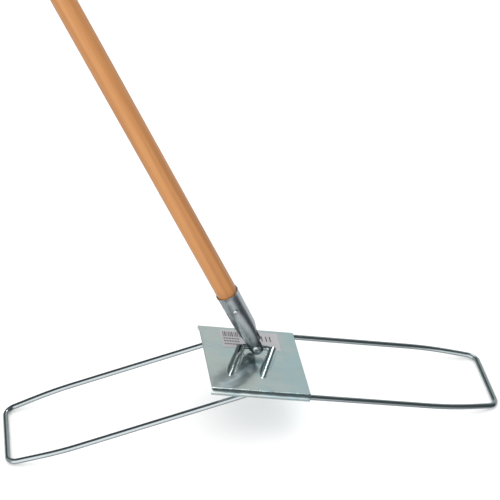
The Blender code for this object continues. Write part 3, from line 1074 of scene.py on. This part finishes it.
@dataclass
class WireLoops:
    """The fixed loop on the right and the folding loop on the left."""

    leg_y: float = 0.061 - ROLL_RADIUS
    start_x: float = 0.002
    taper_x: float = 0.219
    end_x: float = 0.275
    end_half_width: float = 0.0465
    corner: float = 0.012
    taper_bend: float = 0.300
    folding_leg_y: float = 0.0543
    folding_reach: float = 0.2777
    pin_y: float = 0.034
    pin_bend: float = 0.006

    def fixed_path(self) -> list[Vector]:
        """Centre line of the fixed loop.

        Returns:
            Points in the plate's frame.
        """
        half = [(self.start_x, self.leg_y), (self.taper_x, self.leg_y)]
        half.append((self.end_x, self.end_half_width))
        corners = half + [(x, -y) for x, y in reversed(half)]
        radii = [self.taper_bend, self.corner, self.corner, self.taper_bend]
        return rounded_path([(x, y, -ROLL_RADIUS) for x, y in corners], radii)

    def folding_path(self) -> list[Vector]:
        """Centre line of the folding loop, from pin to pin.

        Returns:
            Points in its hinge's frame.
        """
        half = [(0, self.pin_y), (0, self.folding_leg_y), (-self.taper_x, self.folding_leg_y)]
        half.append((-self.folding_reach, self.end_half_width))
        corners = half + [(x, -y) for x, y in reversed(half)]
        radii = [self.pin_bend, self.taper_bend, self.corner]
        return rounded_path([(x, y, 0) for x, y in corners], radii + radii[::-1])

    def build(self, stand: Stand, finish: bpy.types.Material) -> None:
        """Make both loops and seat them.

        Args:
            stand: Frames of the assemblies.
            finish: Material of the wire.
        """
        fixed = drawn_wire("fixed_loop", self.fixed_path())
        stand.seat(fixed, stand.plate, Body.FRAME, Slot.WIRE, [finish], "right_wire_loop")
        folding = drawn_wire("folding_loop", self.folding_path())
        stand.seat(folding, stand.fold, Body.LOOP, Slot.WIRE, [finish], "left_wire_loop")


@dataclass
class HingeSaddles:
    """Two saddles under the plate that hold the folding loop's pins."""

    sheet: float = 0.0012
    width: float = 0.010
    station: float = 0.042
    flange: float = 0.009
    hinge_x: float = -0.007
    bend_steps: int = 28

    def build(self, stand: Stand, finish: bpy.types.Material) -> None:
        """Make both saddles and seat them on the frame.

        Args:
            stand: Frames of the assemblies.
            finish: Material of the saddles.
        """
        radius = WIRE_RADIUS + RUNNING_GAP + self.sheet / 2
        flange_z = -SHEET - PRESSED_GAP - self.sheet / 2
        arc = [(-y, -z) for y, z in half_round(radius, ROLL_RADIUS, self.bend_steps)]
        left = [(-self.flange, flange_z), (-radius, flange_z)]
        path = left + arc + [(-y, z) for y, z in reversed(left)]
        for side, y in (("back", self.station), ("front", -self.station)):
            saddle = sheet_strip(f"saddle_{side}", path, self.width, self.sheet)
            soften(saddle, EDGE_ROUND)
            turn = Matrix.Translation((self.hinge_x, y, 0)) @ Matrix.Rotation(math.pi / 2, 4, "Z")
            place, node = stand.plate @ turn, f"hinge_clip_{side}"
            stand.seat(saddle, place, Body.FRAME, Slot.PLATE, [finish], node)


# ---------------------------------------------------------------- universal joint


@dataclass
class UniversalJoint:
    """Strap round the crossbar, the pivot rivet and its two washers."""

    sheet: float = 0.0015
    width: float = 0.009
    half_span: float = 0.0092
    shoulder_drop: float = 0.0024
    shoulder_bend: float = 0.002
    trim_margin: float = 0.001
    trim_depth: float = 0.02
    head_radius: float = 0.0044
    head_height: float = 0.0022
    head_bore: float = 0.0017
    head_rim: float = 0.0006
    head_steps: int = 12
    seat: float = 0.0123
    washer_radius: float = 0.0042
    washer_sheet: float = 0.0006
    washer_gap: float = 0.0003
    washer_edge: float = 0.0001

    def strap_path(self) -> list[Point2]:
        """Middle surface of the strap, round the crossbar.

        Returns:
            (y, z) points from the top of one arm to the top of the other.
        """
        middle = WIRE_RADIUS + RUNNING_GAP + self.sheet / 2
        arm = self.half_span - self.sheet / 2
        shoulder = PIVOT_RISE - self.shoulder_drop
        lean = math.acos(middle / math.hypot(arm, shoulder)) - math.atan2(shoulder, arm)
        vertex = -middle / math.sin(lean)
        top = PIVOT_RISE + self.width / 2
        bend = [self.shoulder_bend]
        upper = rounded_path([(-arm, top, 0), (-arm, shoulder, 0), (0, vertex, 0)], bend)
        lower = rounded_path([(-arm, shoulder, 0), (0, vertex, 0), (arm, shoulder, 0)], [middle])
        left = [(p.x, p.y) for p in upper[:-1]]
        return left + [(p.x, p.y) for p in lower[1:-1]] + [(-y, z) for y, z in reversed(left)]

    def build_strap(self, stand: Stand, finish: bpy.types.Material) -> None:
        """Make the strap with rounded arms and a pivot hole.

        Args:
            stand: Frames of the assemblies.
            finish: Material of the strap.
        """
        half = self.width / 2
        strap = sheet_strip("knuckle", self.strap_path(), self.width, self.sheet)
        side, low = half + self.trim_margin, -self.trim_depth
        outline = half_round(half, PIVOT_RISE) + [(-side, 0), (-side, low), (side, low), (side, 0)]
        upright = Matrix.Rotation(math.pi / 2, 4, "X")
        carve(strap, prism("keep", outline, CUT_LENGTH, upright), "INTERSECT")
        pivot = along_y(0, PIVOT_RISE)
        carve(strap, round_rod("hole", PIN_RADIUS + RUNNING_GAP, CUT_LENGTH, pivot))
        soften(strap, EDGE_ROUND)
        place, slot = stand.crossbar, Slot.SHEET_STEEL
        stand.seat(strap, place, Body.KNUCKLE, slot, [finish], "knuckle_strap")

    def rivet_profile(self) -> list[Point2]:
        """Profile of the pivot rivet: a domed tubular head in front and a plain one behind.

        Returns:
            (radius, height) from bottom to top.
        """
        head, rise, seat = self.head_radius, self.head_height, self.seat
        bore, rim = self.head_bore, self.head_rim
        angles = spaced(0, math.pi / 2, self.head_steps)
        profile = [(0.0004, -seat + 0.0008), (bore, -seat + 0.0006)]
        profile.append((bore + 0.0001, -seat - rise * 0.75))
        for angle in angles:
            spread = bore + rim + (head - bore - rim) * math.sin(angle)
            profile.append((spread, -seat - rise * math.cos(angle) ** 0.8))
        profile += [(PIN_RADIUS, -seat), (PIN_RADIUS, seat)]
        profile += [(head * math.cos(a), seat + rise * math.sin(a)) for a in angles[:-1]]
        return profile + [(0.0003, seat + rise)]

    def build(self, stand: Stand, steel: bpy.types.Material, sheet: bpy.types.Material) -> None:
        """Make the joint's pieces and seat them on the knuckle.

        Args:
            stand: Frames of the assemblies.
            steel: Material of the rivet and the washers.
            sheet: Material of the strap.
        """
        self.build_strap(stand, sheet)
        rivet = turned("pivot_pin", self.rivet_profile())
        axis = stand.crossbar @ along_y(0, PIVOT_RISE)
        stand.seat(rivet, axis, Body.KNUCKLE, Slot.RIVET, [steel], "pivot_rivet")
        for side, sign in (("front", -1), ("rear", 1)):
            offset = sign * (self.half_span + self.washer_gap + self.washer_sheet / 2)
            washer, node = self.washer(f"washer_{side}"), f"pivot_washer_{side}"
            place = stand.crossbar @ along_y(offset, PIVOT_RISE)
            stand.seat(washer, place, Body.KNUCKLE, Slot.RIVET, [steel], node)

    def washer(self, name: str) -> bpy.types.Object:
        """Flat ring with softened edges.

        Args:
            name: Name of the object.

        Returns:
            The ring.
        """
        inner, outer = PIN_RADIUS + RUNNING_GAP, self.washer_radius
        half, edge = self.washer_sheet / 2, self.washer_edge
        lower = [(inner, -half), (outer - edge, -half), (outer, -half + edge)]
        section = lower + [(r, -z) for r, z in reversed(lower)]
        rings = []
        for a in around(ROUND_SIDES):
            rings.append([Vector((r * math.cos(a), r * math.sin(a), z)) for r, z in section])
        shape = bmesh.new()
        join_rings(shape, rings, closed=True)
        return object_from(name, shape)


# ---------------------------------------------------------------- handle


@dataclass
class Ferrule:
    """Forked socket: round at its mouth and squeezed flat into two ears at the pivot."""

    sheet: float = 0.0010
    length: float = 0.077
    slot: float = 0.0194
    crotch: float = 0.026
    ear_radius: float = 0.0080
    rivet_height: float = 0.057
    rivet_radius: float = 0.0019
    rivet_head: float = 0.0029
    rivet_rise: float = 0.0015
    rivet_bore: float = 0.0012
    rivet_rim: float = 0.0015
    rivet_seat: float = 0.0123
    rivet_steps: int = 10
    pivot_clearance: float = 0.0002
    rivet_clearance: float = 0.0003
    edge_round: float = 0.0002
    sides: int = 120
    curve_steps: int = 40
    station_step: float = 0.001
    trim: float = 0.02
    sections: tuple[tuple[float, float, float, float], ...] = (
        (-0.0100, 0.0083, 0.0120, 3.4),
        (0.0060, 0.0089, 0.0120, 3.4),
        (0.0160, 0.0103, 0.0120, 3.2),
        (0.0280, 0.0114, 0.0120, 2.8),
        (0.0420, 0.0118, 0.0120, 2.3),
        (0.0540, 0.0120, 0.0120, 2.0),
        (0.0735, 0.0123, 0.0123, 2.0),
        (0.0770, 0.0127, 0.0127, 2.0),
    )

    def stations(self) -> list[tuple[float, float, float, float]]:
        """Sections along the ferrule, blended smoothly.

        Returns:
            (height, half width, half depth, squareness) of each.
        """
        rows = []
        for lower, upper in zip(self.sections, self.sections[1:]):
            count = max(4, round((upper[0] - lower[0]) / self.station_step))
            for i in range(count):
                share = i / count
                smooth = share * share * (3 - 2 * share)
                height = lower[0] + (upper[0] - lower[0]) * share
                sizes = (a + (b - a) * smooth for a, b in zip(lower[1:], upper[1:]))
                rows.append((height, *sizes))
        return rows + [self.sections[-1]]

    def skin(self, inset: float) -> list[list[Vector]]:
        """Rings of the ferrule's surface.

        Args:
            inset: Distance by which they are set in.

        Returns:
            The rings, from the ears to the mouth.
        """
        rings = []
        for height, half_x, half_y, square in self.stations():
            ring = []
            for angle in around(self.sides):
                c, s = math.cos(angle), math.sin(angle)
                x = math.copysign(abs(c) ** (2 / square), c) * (half_x - inset)
                y = math.copysign(abs(s) ** (2 / square), s) * (half_y - inset)
                ring.append(Vector((x, y, height)))
            rings.append(ring)
        return rings

    def build(self, stand: Stand, finish: bpy.types.Material, steel: bpy.types.Material) -> None:
        """Make the ferrule and its rivet, and seat them on the handle.

        Args:
            stand: Frames of the assemblies.
            finish: Material of the ferrule.
            steel: Material of the rivet.
        """
        outer, inner = self.skin(0.0), self.skin(self.sheet)
        shape = bmesh.new()
        join_rings(shape, outer + list(reversed(inner)), closed=True)
        ferrule = object_from("forked_ferrule", shape)
        half, side = self.slot / 2, self.trim
        arch = half_round(half, self.crotch - half, self.curve_steps)
        # This matrix lays an outline's X along Y and its Y along Z.
        turn = Matrix(((0, 0, 1, 0), (1, 0, 0, 0), (0, 1, 0, 0), (0, 0, 0, 1)))
        carve(ferrule, prism("slot", arch + [(-half, -side), (half, -side)], CUT_LENGTH, turn))
        ends = [(-x, -z) for x, z in half_round(self.ear_radius, 0, self.curve_steps)]
        outline = [(-side, 0), *ends, (side, 0), (side, -side), (-side, -side)]
        upright = Matrix.Rotation(math.pi / 2, 4, "X")
        carve(ferrule, prism("ears", outline[::-1], CUT_LENGTH, upright))
        across = along_y(0, self.rivet_height)
        pivot_hole = PIN_RADIUS + self.pivot_clearance
        rivet_hole = self.rivet_radius + self.rivet_clearance
        carve(ferrule, round_rod("pivot_hole", pivot_hole, CUT_LENGTH, along_y()))
        carve(ferrule, round_rod("rivet_hole", rivet_hole, CUT_LENGTH, across))
        soften(ferrule, self.edge_round, angle=45)
        place, slot = stand.pivot, Slot.SHEET_STEEL
        stand.seat(ferrule, place, Body.HANDLE, slot, [finish], "ferrule", 45)
        rivet = turned("handle_pin", self.rivet_profile(), self.curve_steps)
        stand.seat(rivet, place @ across, Body.HANDLE, Slot.RIVET, [steel], "ferrule_rivet")

    def rivet_profile(self) -> list[Point2]:
        """Profile of the handle's rivet, with a low hollow head at each end.

        Returns:
            (radius, height) from bottom to top.
        """
        seat, rise, pin = self.rivet_seat, self.rivet_rise, self.rivet_radius
        rim, flare = self.rivet_rim, self.rivet_head - self.rivet_rim
        head = [(0.0003, 0.0006), (self.rivet_bore, 0.0005)]
        head.append((self.rivet_bore + 0.0001, rise * 0.85))
        for angle in spaced(0, math.pi / 2, self.rivet_steps):
            head.append((rim + flare * math.sin(angle), rise * math.cos(angle)))
        low = [(r, -seat - z) for r, z in head]
        return [*low, (pin, -seat), (pin, seat), *((r, -z) for r, z in reversed(low))]


@dataclass
class WoodHandle:
    """Long turned handle whose shaved end sits in the ferrule."""

    radius: float = 0.0116
    start: float = 0.042
    length: float = 1.350
    shaved: tuple[Point2, ...] = (
        (0.0038, 0.042),
        (0.0018, 0.044),
        (0.0012, 0.057),
        (0.0007, 0.073),
        (0.0002, 0.079),
        (0.0, 0.083),
    )
    end_round: float = 0.003
    end_steps: int = 8
    rings: int = 90
    sides: int = 64
    even_below: float = 0.097
    unevenness: float = 0.00012

    def build(self, stand: Stand, finish: bpy.types.Material) -> None:
        """Make the handle and seat it.

        Args:
            stand: Frames of the assemblies.
            finish: Material of the handle.
        """
        top = self.start + self.length
        profile = [(self.radius - less, height) for less, height in self.shaved]
        plain = spaced(profile[-1][1], top - self.end_round, self.rings)
        profile += [(self.radius, height) for height in plain[1:-1]]
        for angle in spaced(0, math.pi / 2, self.end_steps):
            less = self.end_round * (1 - math.cos(angle))
            profile.append((self.radius - less, top - self.end_round * (1 - math.sin(angle))))
        handle = turned("turned_handle", profile, self.sides, self.wobble)
        stand.seat(handle, stand.pivot, Body.HANDLE, Slot.WOOD, [finish], "wood_handle", 60)

    def wobble(self, angle: float, height: float) -> float:
        """Unevenness that sanding leaves, never proud of the nominal radius.

        Args:
            angle: Angle round the handle.
            height: Height over the pivot.

        Returns:
            Change of the radius, none at the socket.
        """
        if height < self.even_below:
            return 0.0
        point = Vector((math.cos(angle) * 0.6, math.sin(angle) * 0.6, height * 9))
        return -self.unevenness * (0.5 + 0.5 * noise.noise(point))


# ---------------------------------------------------------------- studio


@dataclass(frozen=True)
class Panel:
    """Soft-edged panel of the room: bearings run from straight behind the frame to the right."""

    bearing: float
    half_width: float
    height: float
    half_height: float
    edge: float
    colour: Colour

    def mask(
        self, room: NodeTree, bearing: bpy.types.NodeSocket, height: bpy.types.NodeSocket
    ) -> bpy.types.NodeSocket:
        """Nodes that are 1 on the panel and 0 off it.

        Args:
            room: Tree that receives the nodes.
            bearing: Bearing of a direction, in radians.
            height: Its angle over the horizon, in radians.

        Returns:
            The mask's socket.
        """
        aside = room.math("SUBTRACT", bearing, math.radians(self.bearing))
        sideways = room.math("ABSOLUTE", room.math("WRAP", aside, math.pi, -math.pi))
        upwards = room.math("ABSOLUTE", room.math("SUBTRACT", height, math.radians(self.height)))
        masks = []
        for offset, half in ((sideways, self.half_width), (upwards, self.half_height)):
            inner, outer = math.radians(half - self.edge), math.radians(half + self.edge)
            masks.append(room.spread(offset, inner, outer, 1, 0, smooth=True))
        return room.math("MULTIPLY", *masks)


@dataclass(frozen=True)
class Softbox:
    """Rectangular light that faces a point, and that metal doesn't mirror."""

    name: str
    place: tuple[float, float, float]
    aim: tuple[float, float, float]
    size: Point2
    power: float

    def hang(self) -> None:
        """Add the light to the scene."""
        light = bpy.data.lights.new(self.name, "AREA")
        light.shape = "RECTANGLE"
        light.size, light.size_y = self.size
        light.energy = self.power
        obj = bpy.data.objects.new(self.name, light)
        obj.location = self.place
        aim = Vector(self.aim) - Vector(self.place)
        obj.rotation_euler = aim.to_track_quat("-Z", "Y").to_euler()
        obj.visible_glossy = False
        bpy.context.scene.collection.objects.link(obj)


@dataclass
class Studio:
    """Pale floor, soft lights, room of panels and the camera."""

    ceiling: Colour = (0.095, 0.115, 0.12)
    ambient: Colour = (1.12, 1.12, 1.12)
    backdrop: Colour = (0.95, 0.95, 0.95)
    panels: tuple[Panel, ...] = (
        Panel(0, 190, -60, 60, 5, (0.54, 0.57, 0.58)),
        Panel(118, 28, -12, 22, 8, (0.08, 0.09, 0.10)),
        Panel(40, 38, -6, 22, 10, (0.72, 0.76, 0.76)),
        Panel(24, 30, 22, 22, 8, (0.55, 0.595, 0.585)),
        Panel(-85, 30, 22, 22, 10, (0.48, 0.53, 0.53)),
        Panel(-150, 42, 8, 40, 8, (1.45, 1.50, 1.52)),
        Panel(30, 15, 58.5, 6.5, 3.5, (6.0, 6.4, 6.5)),
    )
    lights: tuple[Softbox, ...] = (
        Softbox("front_box", (-1.1, -2.8, 1.4), (0.0, 0.0, 0.4), (2.6, 1.8), 40),
        Softbox("top_box", (0.2, -0.4, 3.4), (0.1, 0.0, 0.0), (4.0, 3.4), 20),
    )
    floor_size: float = 9.0
    floor_colours: tuple[Colour, Colour] = ((0.93, 0.93, 0.93), (0.95, 0.95, 0.95))
    camera_offset: tuple[float, float, float] = (-0.20566, -1.51390, 1.15049)
    camera_turn: tuple[float, float, float] = (56.623, 1.480, -8.698)
    lens: float = 124.609

    def floor(self) -> None:
        """Large pale floor under the frame."""
        shape = bmesh.new()
        bmesh.ops.create_grid(shape, x_segments=8, y_segments=8, size=self.floor_size)
        obj = object_from("studio_floor", shape)
        bench = NodeBench("pale_floor", Matrix())
        cloud = bench.noise((3, 3, 3), 2)
        mottled = bench.mix(bench.spread(cloud, 0.3, 0.7, 0, 1), *self.floor_colours)
        bench.set(Base_Color=mottled, Roughness=0.9, Specular_IOR_Level=0.1)
        obj.data.materials.append(bench.material)
        obj.visible_glossy = False

    def world(self) -> None:
        """Room of soft-edged panels round the frame, with a plain pale backdrop."""
        world = bpy.data.worlds.new("studio_room")
        bpy.context.scene.world = world
        room = NodeTree(world, "ShaderNodeOutputWorld")
        heading = room.add("ShaderNodeTexCoord").outputs["Generated"]
        split = room.add("ShaderNodeSeparateXYZ", {0: heading})
        bearing = room.math("ARCTAN2", split.outputs[0], split.outputs[1])
        height = room.math("ARCSINE", split.outputs[2])
        colour = self.ceiling
        for panel in self.panels:
            colour = room.mix(panel.mask(room, bearing, height), colour, panel.colour)
        path = room.add("ShaderNodeLightPath")
        colour = room.mix(path.outputs["Is Diffuse Ray"], colour, self.ambient)
        colour = room.mix(path.outputs["Is Camera Ray"], colour, self.backdrop)
        light = room.add("ShaderNodeBackground", {"Color": colour, "Strength": 1.0})
        room.tree.links.new(light.outputs[0], room.output.inputs["Surface"])

    def camera(self, stand: Stand) -> None:
        """Camera at the chosen view.

        Args:
            stand: Frames of the assemblies.
        """
        data = bpy.data.cameras.new("view")
        data.lens = self.lens
        data.clip_end = 50
        obj = bpy.data.objects.new("view", data)
        obj.location = stand.plate.translation + Vector(self.camera_offset)
        obj.rotation_euler = [math.radians(a) for a in self.camera_turn]
        bpy.context.scene.collection.objects.link(obj)
        bpy.context.scene.camera = obj

    def build(self, stand: Stand) -> None:
        """Set up everything that isn't the object.

        Args:
            stand: Frames of the assemblies.
        """
        self.floor()
        self.world()
        for light in self.lights:
            light.hang()
        bpy.context.scene.view_settings.view_transform = "Standard"
        self.camera(stand)


def main() -> None:
    """Build every assembly, dress it, and set up the studio."""
    logging.basicConfig(level=logging.INFO, format="%(name)s: %(message)s")
    stand = Stand()
    plate_finish = PLATE_ZINC.make(stand.plate)
    wire_finish = WIRE_ZINC.make(stand.plate)
    rivet_finish = RIVET_ZINC.make(stand.crossbar)
    bail = Bail()
    CentrePlate(bail).build(stand, plate_finish)
    bail.build(stand, wire_finish)
    PaperLabel().build(stand, LABEL_PAPER.make(stand.plate), LABEL_INK.make(stand.plate))
    WireLoops().build(stand, wire_finish)
    HingeSaddles().build(stand, plate_finish)
    UniversalJoint().build(stand, rivet_finish, STRAP_ZINC.make(stand.crossbar))
    Ferrule().build(stand, FERRULE_ZINC.make(stand.pivot), rivet_finish)
    WoodHandle().build(stand, HANDLE_WOOD.make(stand.pivot))
    Studio().build(stand)


if __name__ == "__main__":
    main()
